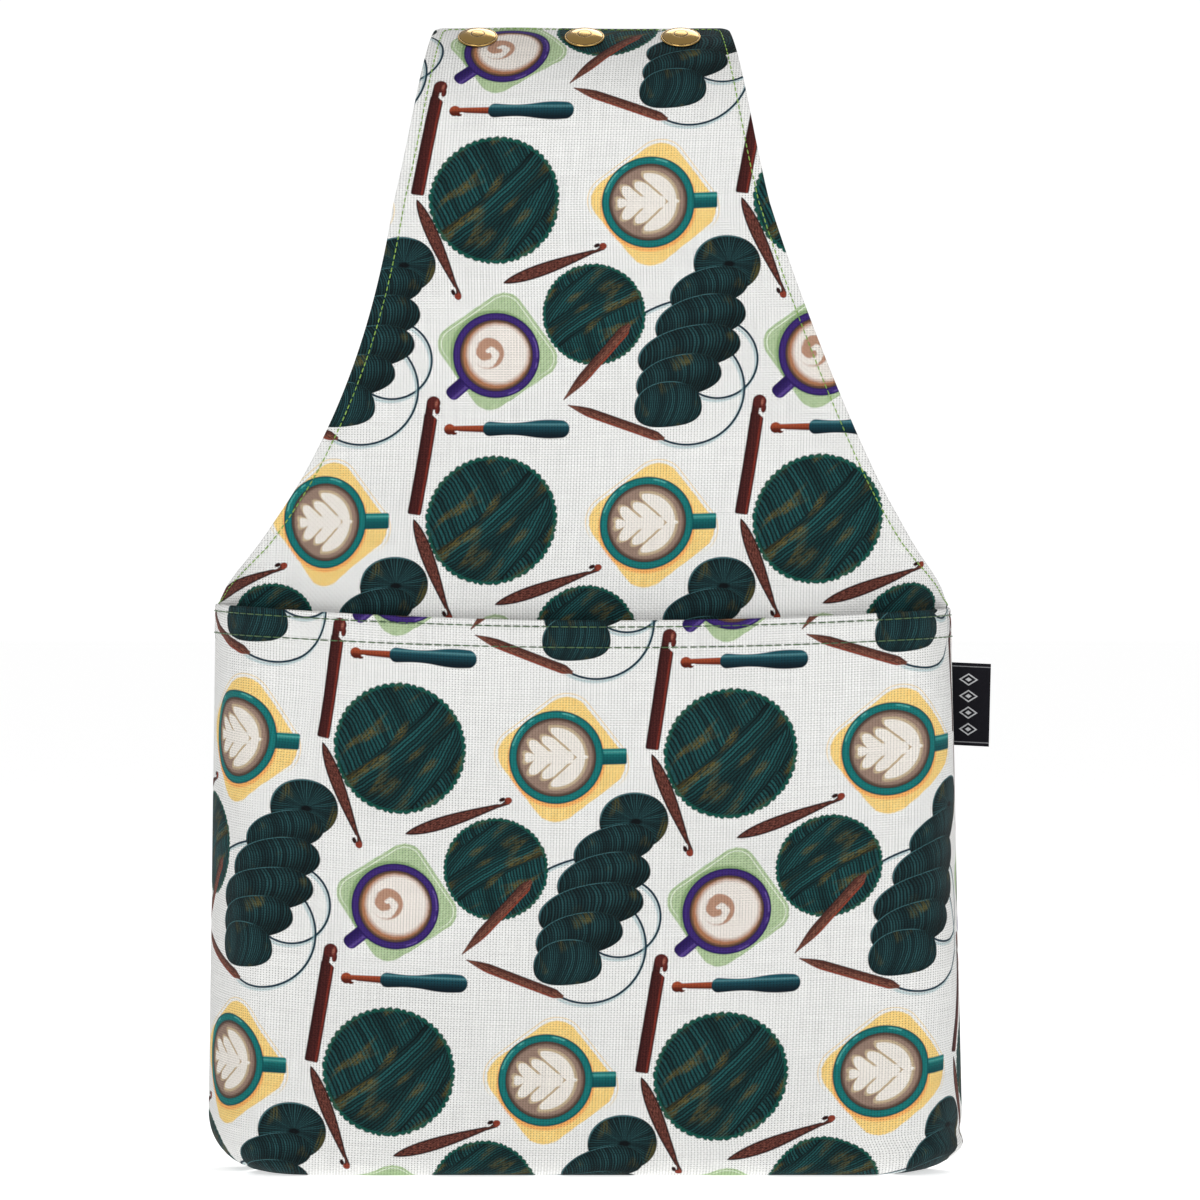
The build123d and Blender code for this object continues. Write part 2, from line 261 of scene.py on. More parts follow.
def seam_reach(layer, s):
    """How far across the cloth goes at s: to the side seam, and above it to the arm opening's edge."""
    _, z = side_profile(layer, np.minimum(s, SEAM_TOP))
    span = SIDE_SPAN - layer.inset
    flat = half_width(layer, z) - span
    along, angle = ellipse_table(layer)
    full = flat + np.interp(pi / 2, angle, along)
    x = neck_half(np.maximum(s, SEAM_TOP))
    beyond = np.arcsin(np.clip((x - flat) / span, 0, 1))
    cut = np.where(x > flat, flat + np.interp(beyond, angle, along), x)
    return np.where(s > SEAM_TOP, cut, full)


def strap_reach(layer, s, end):
    """As seam_reach, with the strap's end corners rounded."""
    left = np.clip(STRAP_CORNER_R - (end - s), 0, STRAP_CORNER_R)
    return seam_reach(layer, s) - STRAP_CORNER_R + np.sqrt(STRAP_CORNER_R**2 - left**2)


# ---- how the cloth lies
def waves(seed, count, low, high, amplitude):
    """A smooth uneven relief: sine waves with wavelengths between low and high, in every direction."""
    chance = np.random.default_rng(seed)
    length = chance.uniform(low, high, count)
    heading = chance.uniform(0, pi, count)
    phase = chance.uniform(0, 2 * pi, count)
    size = amplitude / np.sqrt(count)

    def relief(u, s):
        total = 0
        for n in range(count):
            along = u * np.cos(heading[n]) + s * np.sin(heading[n])
            total = total + size * np.sin(2 * pi * along / length[n] + phase[n])
        return total

    return relief


SWELL = {FRONT: waves(3, 7, 70, 150, 1.5), BACK: waves(8, 7, 70, 150, 1.5)}
POCKET_SWELL = waves(5, 7, 60, 140, 1.6)
PUCKER = waves(11, 9, 9, 17, 0.8)


def panel_relief(side, u, s):
    """How far a panel swells out of its plain shape, dying away at its seams and on the laps."""
    canvas = FRONT_PANEL if side == FRONT else BACK_PANEL
    edge = np.maximum(seam_reach(canvas, s) - np.abs(u), 0)
    still = rise(edge, 2, 34) * rise(s, 8, 60) * (1 - 0.8 * rise(s, LAP_Z - 60, LAP_Z))
    pucker = np.exp(-edge / 7) * rise(edge, 0.5, 3) * rise(s, SEAM_TOP, SEAM_TOP + 30)
    flat_lap = 1 - rise(s, LAP_Z - 20, LAP_Z + 10)
    return SWELL[side](u, s) * still + PUCKER(u, s) * pucker * flat_lap


def panel_point(layer, u, s, lift=0.0):
    relief = panel_relief(layer.side, u, s) + lift
    return bare_point(layer, u, s) + outward(layer, u, s) * np.asarray(relief)[..., None]


# ---- meshes
def make_piece(name, points, faces, material, cloth=None):
    """A smooth-shaded mesh piece; points are in millimetres, and cloth gives each its place on the print."""
    mesh = bpy.data.meshes.new(name)
    mesh.from_pydata((np.asarray(points) * MM).tolist(), [], faces)
    if cloth is not None:
        marks = mesh.attributes.new("cloth", "FLOAT_VECTOR", "POINT")
        marks.data.foreach_set("vector", np.asarray(cloth, np.float32).ravel())
    mesh.polygons.foreach_set("use_smooth", [True] * len(mesh.polygons))
    mesh.materials.append(material)
    piece = bpy.data.objects.new(name, mesh)
    bpy.context.collection.objects.link(piece)
    return piece


def grid_faces(rows, columns, start=0, flip=False):
    faces = []
    for i in range(rows - 1):
        for j in range(columns - 1):
            a = start + i * columns + j
            quad = (a, a + 1, a + columns + 1, a + columns)
            faces.append(quad[::-1] if flip else quad)
    return faces


def rim_faces(rows, columns):
    """The faces that close a sheet's edge, between an outer grid and the inner one that follows it."""
    ring = list(range(columns))
    ring += [i * columns + columns - 1 for i in range(1, rows)]
    ring += [(rows - 1) * columns + j for j in range(columns - 2, -1, -1)]
    ring += [i * columns for i in range(rows - 2, 0, -1)]
    layer = rows * columns
    return [(b, a, a + layer, b + layer) for a, b in zip(ring, ring[1:] + ring[:1])]


def merge_doubles(piece):
    distance = 0.02
    shape = bmesh.new()
    shape.from_mesh(piece.data)
    bmesh.ops.remove_doubles(shape, verts=shape.verts, dist=distance * MM)
    bmesh.ops.dissolve_degenerate(shape, edges=shape.edges, dist=0.2 * distance * MM)
    bmesh.ops.recalc_face_normals(shape, faces=shape.faces)
    shape.to_mesh(piece.data)
    shape.free()
    piece.data.polygons.foreach_set("use_smooth", [True] * len(piece.data.polygons))


PRINT_LEVEL = 160.0      # the height from which the lie of the printed cloth is told
EDGE_STEPS = np.array([0, 0.12, 0.35, 0.7, 1.2, 2.2, 3.6])
ACROSS = 66


def columns_at(reach):
    """Places across the cloth: close together at its two edges and even between them."""
    inner = reach[:, None] - EDGE_STEPS[-1]
    middle = inner * np.linspace(-1, 1, ACROSS)[None, 1:-1]
    right = reach[:, None] - EDGE_STEPS[None, ::-1]
    return np.concatenate([-right[:, ::-1], middle, right], axis=1)


def rounding(distance, radius):
    """How far the cloth's face turns in over a folded edge."""
    near = np.clip(radius - distance, 0, radius)
    return radius - np.sqrt(radius**2 - near**2)


def sheet_solid(name, outer, inner, cloth, material, slot):
    """A sheet of cloth between two grids of points."""
    rows, columns = outer.shape[:2]
    points = np.concatenate([outer.reshape(-1, 3), inner.reshape(-1, 3)])
    faces = grid_faces(rows, columns) + grid_faces(rows, columns, rows * columns, True)
    faces += rim_faces(rows, columns)
    piece = make_piece(name, points, faces, material, np.concatenate([cloth.reshape(-1, 3)] * 2))
    merge_doubles(piece)
    return piece


Lie = namedtuple("Lie", "start across up fan bow lean")


def print_place(u, s, lie):
    """Places on the print, in millimetres of its own repeat, of points of a piece of cloth.

    lie says where its middle falls, how its width and height run, and how it fans, droops and leans.
    """
    v = s - PRINT_LEVEL
    terms = np.stack([1 + 0 * u, u, v, u * v, u * u, v * v])
    x, y = (np.tensordot([term[k] for term in lie], terms, 1) for k in (0, 1))
    return np.stack([x, y, 0 * x], axis=-1)


def stretches(*stops):
    """Even rows from stop to stop; each stop is its place and how many rows reach to the next one."""
    return [np.linspace(at, to, count)[:-1] for (at, count), (to, _) in zip(stops, stops[1:])]


def panel_rows(layer, end):
    """The rows of a panel's grid, closer together where it bends."""
    turned, seam = floor_start(layer)
    turn = LAP_Z if layer.side == FRONT else BACK_ROLL_Z
    notch = SEAM_TOP + np.linspace(0, 1, 9) ** 2 * 14
    return np.concatenate([
        *stretches((seam, 8), (turned, 14), (CORNER_R, 46), (SEAM_TOP, 0)),
        notch[:-1],
        *stretches((notch[-1], 44), (turn, 30), (end - 6, 0)),
        end - 6 + 6 * np.sin(np.linspace(0, pi / 2, 12)),
    ])


def make_panel(name, layer, thickness, margin, material, slot, lie):
    """One panel with its strap: the canvas, or its lining, whose edges stop short by a margin."""
    end = (FRONT_END if layer.side == FRONT else BACK_END) - margin
    s = panel_rows(layer, end)
    reach = strap_reach(layer, s, end) - margin * (s > SEAM_TOP)
    u = columns_at(reach)
    rows = np.broadcast_to(s[:, None], u.shape)
    free = np.where(rows > SEAM_TOP, reach[:, None] - np.abs(u), 99.0)
    fold = rounding(np.minimum(free, end - rows), 0.75 if margin == 0 else 0.4)
    outer_fold = fold if margin == 0 else 0.0
    inner_fold = 0.0 if margin == 0 else fold
    outer = panel_point(layer, u, rows, -outer_fold)
    inner = panel_point(layer, u, rows, inner_fold - thickness)
    slack = slip(u, rows, 5.6, 82, 112, (150, 200), (236, 296)) if layer.side == FRONT else 0.0
    piece = sheet_solid(name, outer, inner, print_place(u - slack, rows, lie), material, slot)
    return piece


# ---- the front pocket
MOUTH_SIDE, MOUTH_SAG, MOUTH_LEAN = 217.0, 5.7, 0.9
POCKET_FLEX_FROM = 120.0
HEM_DEPTH = 12.6


def mouth_height(u):
    across = bare_point(POCKET, u, SEAM_TOP + 0 * u)[..., 0] / BASE_HALF
    return MOUTH_SIDE - MOUTH_SAG * (1 - across**2) - MOUTH_LEAN * across


def pocket_height(u, s):
    """The height of a point of the pocket, whose upper part is drawn down to the sagging mouth."""
    share = np.clip((s - POCKET_FLEX_FROM) / (MOUTH_SIDE - POCKET_FLEX_FROM), 0, 1)
    return s + share * (mouth_height(u) - MOUTH_SIDE)


def pocket_relief(u, s):
    edge = np.maximum(seam_reach(POCKET, np.minimum(s, SEAM_TOP)) - np.abs(u), 0)
    below = MOUTH_SIDE - s
    still = rise(edge, 2, 34) * rise(s, 6, 55)
    relief = POCKET_SWELL(u, s) * still * (1 - 0.35 * rise(s, 180, 217))
    relief = relief + 0.45 * rise(HEM_DEPTH - below, 0, 1.6) * rise(edge, 1, 6)
    for row in HEM_ROWS:
        relief = relief - 0.32 * np.exp(-(((below - row) / 0.9) ** 2)) * rise(edge, 1, 6)
    hem_pucker = np.exp(-np.abs(below - HEM_ROWS[1]) / 5) * rise(edge, 4, 16)
    return relief + PUCKER(u, s * 0.35) * hem_pucker * 0.55


def pocket_point(u, s, lift=0.0):
    z = pocket_height(u, s)
    relief = pocket_relief(u, s) + lift
    return bare_point(POCKET, u, z) + outward(POCKET, u, z) * np.asarray(relief)[..., None]


def slip(u, s, most, start, full, low, high):
    """How far the cloth's print has slipped towards the left seam, in a patch of that width and height."""
    return most * rise(-u, start, full) * rise(s, *low) * (1 - rise(s, *high))


def make_pocket(name, material, lie):
    turned, seam = floor_start(POCKET)
    stops = (seam, 9), (turned, 14), (CORNER_R, 44), (MOUTH_SIDE - HEM_DEPTH - 3, 32), (MOUTH_SIDE - 1, 0)
    s = np.concatenate([*stretches(*stops), MOUTH_SIDE - 1 + np.sin(np.linspace(0, pi / 2, 7))])
    reach = seam_reach(POCKET, np.minimum(s, SEAM_TOP))
    u = columns_at(reach)
    rows = np.broadcast_to(s[:, None], u.shape)
    fold = rounding(MOUTH_SIDE - rows, 0.9)
    outer = pocket_point(u, rows, -fold)
    inner = pocket_point(u, rows, -CLOTH - 0.9 * rise(HEM_DEPTH - (MOUTH_SIDE - rows), 0, 1) + fold)
    slack = slip(u, rows, 2.6, 92, 108, (150, 190), (300, 301)) * (1 - rise(-u, 126, 144))
    place = print_place(u - slack, pocket_height(u, rows), lie)
    piece = sheet_solid(name, outer, inner, place, material, "printed_canvas")
    return piece


# ---- stitching
def stitch_shape():
    """One stitch along +X, lying on z = 0: a short thread that dives in at both ends."""
    rings, sides = 7, 6
    points = []
    for i in range(rings):
        t = i / (rings - 1) * 2 - 1
        swell = np.sqrt(max(1 - t**6, 0.02))
        arch = 1 - t * t
        for k in range(sides):
            a = 2 * pi * k / sides
            points.append((t / 2, 0.5 * swell * cos(a), 0.5 * swell * sin(a) + 0.9 * arch - 0.35))
    faces = [
        (i * sides + k, i * sides + (k + 1) % sides, (i + 1) * sides + (k + 1) % sides, (i + 1) * sides + k)
        for i in range(rings - 1)
        for k in range(sides)
    ]
    faces.append(tuple(range(sides))[::-1])
    faces.append(tuple((rings - 1) * sides + k for k in range(sides)))
    return np.array(points), faces


def make_stitches(name, path, normals, pitch, fill, thickness, material):
    """A row of stitches along a path of points."""
    shape, shape_faces = stitch_shape()
    steps = np.linalg.norm(np.diff(path, axis=0), axis=1)
    far = np.concatenate([[0], np.cumsum(steps)])
    count = int(far[-1] // pitch)
    points, faces, cloth = [], [], []
    for n in range(count):
        middle = (n + 0.5) * far[-1] / count
        ends = [np.array([np.interp(middle + d, far, path[:, k]) for k in range(3)])
                for d in (-fill / 2 * pitch, fill / 2 * pitch)]
        along = ends[1] - ends[0]
        out = np.array([np.interp(middle, far, normals[:, k]) for k in range(3)])
        side = np.cross(out, along)
        side /= np.linalg.norm(side)
        up = np.cross(along, side)
        up /= np.linalg.norm(up)
        axes = np.stack([along, side * thickness, up * thickness * 0.8])
        start = len(points) * len(shape)
        points.append((ends[0] + ends[1]) / 2 + shape @ axes)
        cloth.append(np.column_stack([shape[:, 0] * pitch + n * pitch, shape[:, 1:] * thickness]))
        faces += [tuple(start + v for v in face) for face in shape_faces]
    return make_piece(name, np.concatenate(points), faces, material, np.concatenate(cloth))


def round_route(layer, end):
    """The topstitching's route: up one arm opening, round the strap's end and down the other."""
    foot = SEAM_TOP + 0.5
    s = np.concatenate([np.linspace(foot, end - 12, 260), np.linspace(end - 12, end - STITCH_INSET, 60)])
    slope = (SEAM_HALF - NECK_HALF) / NECK_FALL * np.exp(-(s - SEAM_TOP) / NECK_FALL)
    corner = 3.0
    near = np.clip(corner - (end - STITCH_INSET - s), 0, corner)
    u = seam_reach(layer, s) - STITCH_INSET * np.sqrt(1 + slope**2) - corner + np.sqrt(corner**2 - near**2)
    across = np.linspace(u[-1], -u[-1], 120)[1:-1]
    route_u = np.concatenate([u, across, -u[::-1]])
    route_s = np.concatenate([s, np.full(len(across), end - STITCH_INSET), s[::-1]])
    return route_u, route_s


def make_topstitch(name, layer, material):
    u, s = round_route(layer, FRONT_END if layer.side == FRONT else BACK_END)
    path, normals = panel_point(layer, u, s, 0.12), outward(layer, u, s)
    return make_stitches(name, path, normals, 2.5, 0.80, 0.46, material)


def make_hem_stitch(name, below, material):
    reach = seam_reach(POCKET, np.array([MOUTH_SIDE - 20.0]))[0] - 1.0
    u = np.linspace(-reach, reach, 500)
    s = np.full_like(u, MOUTH_SIDE - below)
    normals = outward(POCKET, u, pocket_height(u, s))
    return make_stitches(name, pocket_point(u, s, 0.12), normals, 3.6, 0.94, 0.46, material)


# ---- materials: arithmetic on fields
def feed(port, value):
    if isinstance(value, Field):
        value.tree.links.new(value.socket, port)
    else:
        port.default_value = value


class Field:
    """A value worked out at every point of a surface; arithmetic on it adds nodes to its tree."""

    def __init__(self, tree, socket):
        self.tree, self.socket = tree, socket

    def node(self, kind, values, out=0, **settings):
        made = self.tree.nodes.new(kind)
        for key, value in settings.items():
            setattr(made, key, value)
        for port, value in values.items():
            feed(made.inputs[port], value)
        return Field(self.tree, made.outputs[out])

    def math(self, operation, *others, clamp=False):
        values = dict(enumerate((self, *others)))
        return self.node("ShaderNodeMath", values, operation=operation, use_clamp=clamp)

    def vector(self, operation, *others, out=0):
        return self.node("ShaderNodeVectorMath", dict(enumerate((self, *others))), out, operation=operation)

    def __add__(self, other):
        return self.math("ADD", other)

    def __sub__(self, other):
        return self.math("SUBTRACT", other)

    def __mul__(self, other):
        return self.math("MULTIPLY", other)

    def __truediv__(self, other):
        return self.math("DIVIDE", other)

    def __rsub__(self, other):
        return self.math("MULTIPLY", -1.0) + other

    __radd__, __rmul__ = __add__, __mul__

    def sin(self):
        return self.math("SINE")

    def abs(self):
        return self.math("ABSOLUTE")

    def power(self, exponent):
        return self.math("POWER", exponent)

    def clamp(self):
        return self.math("MULTIPLY", 1.0, clamp=True)

    def over(self, other):
        """The greater of the two."""
        return self.math("MAXIMUM", other)

    def ramp(self, start, end):
        """0 up to start, 1 beyond end and smooth between them."""
        values = {0: self, 1: start, 2: end}
        return self.node("ShaderNodeMapRange", values, interpolation_type="SMOOTHSTEP")

    def inside(self, soft):
        """1 where a distance inside a shape is positive, with an edge of that softness."""
        return self.math("MULTIPLY_ADD", 1 / soft, 0.5, clamp=True)

    def noise(self, scale, detail=2.0, roughness=0.5):
        values = {"Vector": self, "Scale": scale, "Detail": detail, "Roughness": roughness}
        return self.node("ShaderNodeTexNoise", values)

    def parts(self):
        split = self.tree.nodes.new("ShaderNodeSeparateXYZ")
        self.tree.links.new(self.socket, split.inputs[0])
        return [Field(self.tree, port) for port in split.outputs]


def rgb(red, green, blue):
    """A colour given as it looks on a screen, 0 to 255."""
    shares = [c / 255 for c in (red, green, blue)]
    return (*[((c + 0.055) / 1.055) ** 2.4 if c > 10 / 255 else c / 12.92 for c in shares], 1)


def mix(share, first, second):
    return share.node("ShaderNodeMix", {0: share, 6: first, 7: second}, 2, data_type="RGBA")


def mix_vector(share, first, second):
    return share.node("ShaderNodeMix", {0: share, 4: first, 5: second}, 1, data_type="VECTOR")


def combine(x, y, z=0.0):
    return x.node("ShaderNodeCombineXYZ", {0: x, 1: y, 2: z})


def hypotenuse(x, y):
    return (x * x + y * y).math("SQRT")


def shade(colour, amount):
    """A colour made darker or lighter by an amount about 1."""
    return colour.node("ShaderNodeVectorMath", {0: colour, 3: amount}, operation="SCALE")


def start_material(name, roughness, metallic=0.0):
    material = bpy.data.materials.new(name)
    material.use_nodes = True
    shader = material.node_tree.nodes["Principled BSDF"]
    set_values(shader, Roughness=roughness, Metallic=metallic)
    return material, shader


def cloth_marks(shader):
    """What make_piece wrote for each point of the mesh."""
    node = shader.id_data.nodes.new("ShaderNodeAttribute")
    node.attribute_name = "cloth"
    return Field(shader.id_data, node.outputs["Vector"])


def place_in(shader):
    node = shader.id_data.nodes.new("ShaderNodeTexCoord")
    return Field(shader.id_data, node.outputs["Object"])


def finish_shader(shader, colour, height, distance, strength, **values):
    """Gives a shader its colour, its relief and any plain values."""
    feed(shader.inputs["Base Color"], colour)
    relief = {"Height": height, "Distance": distance, "Strength": strength}
    feed(shader.inputs["Normal"], height.node("ShaderNodeBump", relief))
    set_values(shader, **values)


# ---- the print
# Lengths are in millimetres of one repeat, from the middle of its large ball: x across, y up.
PRINT_TILE = 124.0
CANVAS = rgb(238, 238, 236)


def local(p, centre, turn=0.0):
    """x and y from a motif's own middle, in the nearest repeat, turned so that it lies along x."""
    away = p.vector("SUBTRACT", (*centre, 0.0))
    near = away.vector("WRAP", (PRINT_TILE / 2,) * 3, (-PRINT_TILE / 2,) * 3)
    if turn:
        near = near.node("ShaderNodeVectorRotate", {0: near, "Angle": -radians(turn)}, rotation_type="Z_AXIS")
    x, y, _ = near.parts()
    return x, y


def disc(x, y, radius, soft=0.35):
    """1 inside a circle about the origin."""
    return (radius - hypotenuse(x, y)).inside(soft)


def rounded_box(x, y, half_x, half_y, corner):
    """How far inside a rounded rectangle a point is."""
    over_x = (x.abs() - (half_x - corner)).over(0.0)
    over_y = (y.abs() - (half_y - corner)).over(0.0)
    return corner - hypotenuse(over_x, over_y)


def draw_coaster(colour, p, centre, turn, half, corner, tint, dark, line_at, line_tint):
    x, y = local(p, centre, turn)
    deep = rounded_box(x, y, half, half, corner)
    brush = combine(x * 0.25, y * 2.2).noise(1.1)
    inked = mix(brush.ramp(0.35, 0.75), tint, dark)
    colour = mix((deep + (brush - 0.5) * 1.1).inside(0.5) * 0.96, colour, inked)
    line = (0.2 - (deep - line_at).abs()).inside(0.35) * (x + y + 8.0).inside(9.0) * 0.8
    return mix(line, colour, line_tint)


def draw_cable(colour, p, centre, radius, turn, spread):
    """An arc of a circle: the thin cable and its pale shadow."""
    reach = radius * cos(radians(spread))
    x, y = local(p, (centre[0] - 0.6, centre[1] - 1.0), turn)
    shadow = (0.55 - (hypotenuse(x, y) - radius).abs()).inside(0.7) * (x - reach).inside(2.0)
    colour = mix(shadow * 0.6, colour, rgb(146, 182, 188))
    x, y = local(p, centre, turn)
    line = (0.42 - (hypotenuse(x, y) - radius).abs()).inside(0.3) * (x - reach).inside(0.5)
    return mix(line, colour, rgb(24, 52, 66))


def strands(across, pitch, wobble, dark, light, strength=1.0):
    """A bundle of yarn: fine rounded strands a pitch apart, each with a tone of its own."""
    uneven = across.math("MULTIPLY_ADD", pi / pitch, wobble)
    profile = uneven.sin().abs().power(1.4)
    each = uneven.math("DIVIDE", pi).math("FLOOR")
    tone = each.node("ShaderNodeTexWhiteNoise", {"W": each}, noise_dimensions="1D")
    return mix((profile * (0.35 + 0.65 * tone) * strength).clamp(), dark, light)


def draw_balls(colour, p):
    """The two balls of yarn, shaded once in whichever of them a point is nearer to."""
    big_r, small_r = 24.3, 19.2
    x, y = local(p, (0.0, 0.0))
    big = combine(x / big_r, y / big_r)
    x, y = local(p, (37.4, -44.5), 168)
    small = combine(x / small_r, y / small_r)
    nearer = (small.vector("LENGTH", out=1) - 1.25).inside(0.001)
    ball = mix_vector(nearer, small, big)
    x, y, _ = ball.parts()
    far = hypotenuse(x, y)
    height = (1.0 - far * far).over(0.0).math("SQRT")
    ball = combine(x, y, height)
    dark, light = rgb(2, 12, 16), rgb(34, 92, 93)
    wobble = ball.noise(2.4) * 3.2
    shaded = dark
    for strand_turn, bow, limit, low, high, pitch in (
        (114, 0.10, 135, -2.0, 2.0, 0.056), (144, 0.20, 135, -2.0, -0.60, 0.058),
        (60, 0.22, 140, -0.74, 0.10, 0.056), (43, 0.12, 133, -0.30, 0.22, 0.052),
    ):
        axes = []
        for angle, rise_by in ((strand_turn + 90, bow), (limit, 0.05)):
            axes.append(tuple(Vector((cos(radians(angle)), sin(radians(angle)), rise_by)).normalized()))
        across = ball.vector("DOT_PRODUCT", axes[0], out=1)
        place = ball.vector("DOT_PRODUCT", axes[1], out=1)
        share = (place - low).inside(0.02) * (high - place).inside(0.02)
        edge = 0.30 + 0.70 * (high - place).ramp(0.0, 0.10) * (place - low).ramp(0.0, 0.07)
        shaded = mix(share, shaded, strands(across, pitch, wobble, dark, light, edge))
    streak = combine((x + y) * 0.8 + 4.0, (x - y) * 2.4).noise(1.0, 1.0)
    grain = combine((x + y) * 6.0, (x - y) * 30.0).noise(1.0)
    shaded = mix(streak.ramp(0.52, 0.66) * grain.ramp(0.30, 0.62) * 0.62, shaded, rgb(112, 96, 40))
    shaded = shade(shaded, 0.46 + 0.58 * height.power(0.6))
    shaded = mix((far - 0.965).inside(0.03) * 0.55, shaded, rgb(20, 100, 84))
    turned = y.math("ARCTAN2", x)
    loops = combine(x, y).noise(6.0)
    scallop = (turned * 27 + loops * 5).sin().abs() * (0.012 + 0.04 * loops)
    return mix((1.0 + scallop - far).inside(0.02), colour, shaded)


def draw_needle(colour, p, centre, turn, half, width, point):
    """A round wooden needle along x whose end at -x tapers to a point and whose other end rounds off."""
    x, y = local(p, centre, turn)
    taper = (x + half).ramp(-0.5, point)
    blunt = (half - x).ramp(-0.3, 4.0)
    deep = width * (0.10 + 0.90 * taper.power(0.7)) * (0.35 + 0.65 * blunt) - y.abs()
    ends = (half - x.abs()).inside(0.5)
    grain = combine(x * 0.35, y * 2.4).noise(1.5, 3.0)
    wood = mix(grain.ramp(0.35, 0.65), rgb(78, 42, 36), rgb(132, 84, 68))
    wood = mix((y / width).ramp(0.15, 0.35) * 0.55, wood, rgb(56, 28, 26))
    wood = mix((y / width).ramp(0.7, 1.0) * 0.8, wood, rgb(30, 14, 16))
    wood = mix((0.35 - (y + width * 0.85).abs()).inside(0.5) * 0.7, wood, rgb(150, 60, 40))
    return mix(deep.inside(0.4) * ends, colour, wood)


def draw_spindle(colour, p, centre, turn, half, width, head):
    """A slim hook along x: pointed at -x, widest a third of the way along, with a hooked head at +x."""
    x, y = local(p, centre, turn)
    along = ((x + half) / (2 * half)).clamp()
    belly = (along * (1.0 - along)).power(0.75) * (1.35 - along) * 3.0
    deep = (width * belly).over(0.8 * (along - 0.5).inside(0.1)) - y.abs()
    shaft = deep.inside(0.4) * (half - 1.4 - x).inside(0.4) * (x + half).inside(0.4)
    knob = disc(x - (half - 1.6), (y - 0.7 * head) * 1.15, 1.5)
    barb = disc((x - (half - 3.6)) * 0.6, y - 1.75 * head, 0.75, 0.3)
    notch = disc((x - (half - 4.6)) * 0.5, y - 0.95 * head, 0.55, 0.3)
    grain = combine(x * 0.4, y * 2.6).noise(1.7, 3.0)
    wood = mix(grain.ramp(0.38, 0.62), rgb(50, 24, 23), rgb(124, 70, 58))
    wood = mix((deep - 0.1).ramp(0.9, 0.0) * 0.9, wood, rgb(28, 11, 13))
    wood = mix(knob * (x - (half - 2.6)).inside(0.8) * 0.8, wood, rgb(150, 64, 46))
    return mix((shaft * (1.0 - notch)).over(knob).over(barb), colour, wood)


def draw_thick_hook(colour, p):
    half, width = 23.1, 2.6
    x, y = local(p, (-26.4, 25.0), 82.8)
    shoulder = (half - 6.9 + y * 0.75 - x).inside(0.4)
    shaft = rounded_box(x + 3.4, y, half - 3.4, width, 0.9).inside(0.4) * shoulder
    neck = rounded_box(x - (half - 6.6), y - 0.95, 4.2, 1.45, 0.9).inside(0.4)
    head = disc(x - (half - 2.65), y + 0.25, 2.65, 0.4)
    head = head.over(disc((x - (half - 5.0)) * 0.55, y + 2.1, 1.0, 0.3))
    gleam = disc((x - (half - 2.7)) * 0.4, y + 1.3, 0.45, 0.5)
    grain = combine(x * 1.3, y * 2.0).noise(1.6, 3.0)
    wood = mix(grain.ramp(0.35, 0.7), rgb(56, 20, 20), rgb(84, 36, 32))
    wood = mix((y / width).ramp(0.2, 1.0) * 0.7, wood, rgb(34, 12, 14))
    wood = mix((0.35 - (y + 1.7).abs()).inside(0.5) * 0.75, wood, rgb(134, 50, 38))
    wood = mix(head * 0.5, wood, rgb(96, 38, 34))
    wood = mix(gleam * 0.6, wood, rgb(190, 120, 100))
    return mix(shaft.over(neck).over(head), colour, wood)


def draw_handled_hook(colour, p):
    x, y = local(p, (2.2, 35.3), -0.4)
    shank = ((x + 20.0) * 0.030 + 0.95 - y.abs()).inside(0.4) * (9.5 - (x + 11.5).abs()).inside(0.4)
    knob = disc(x + 19.5, y + 0.3, 2.1)
    barb = disc((x + 17.8) * 0.6, y + 1.7, 0.75, 0.3)
    knob = knob.over(barb)
    notch = disc((x + 16.6) * 0.5, y + 1.25, 0.4, 0.3)
    metal = mix((y + 0.6).ramp(-0.8, 1.2), rgb(86, 30, 18), rgb(156, 70, 42))
    colour = mix(shank.over(knob) * (1.0 - notch), colour, metal)
    swell = 2.95 + (x - 9.6) * 0.025 - ((x - 4.5) * 0.24).math("COSINE") * 0.48
    deep = rounded_box(x - 9.6, y * 3.15 / swell, 16.4, 3.15, 2.9)
    grip = mix((y + 3.0).ramp(0.0, 6.0), rgb(5, 24, 34), rgb(24, 80, 92))
    grip = mix((0.4 - (y - 1.75).abs()).inside(0.8) * 0.45, grip, rgb(110, 170, 176))
    return mix(deep.inside(0.4), colour, grip)


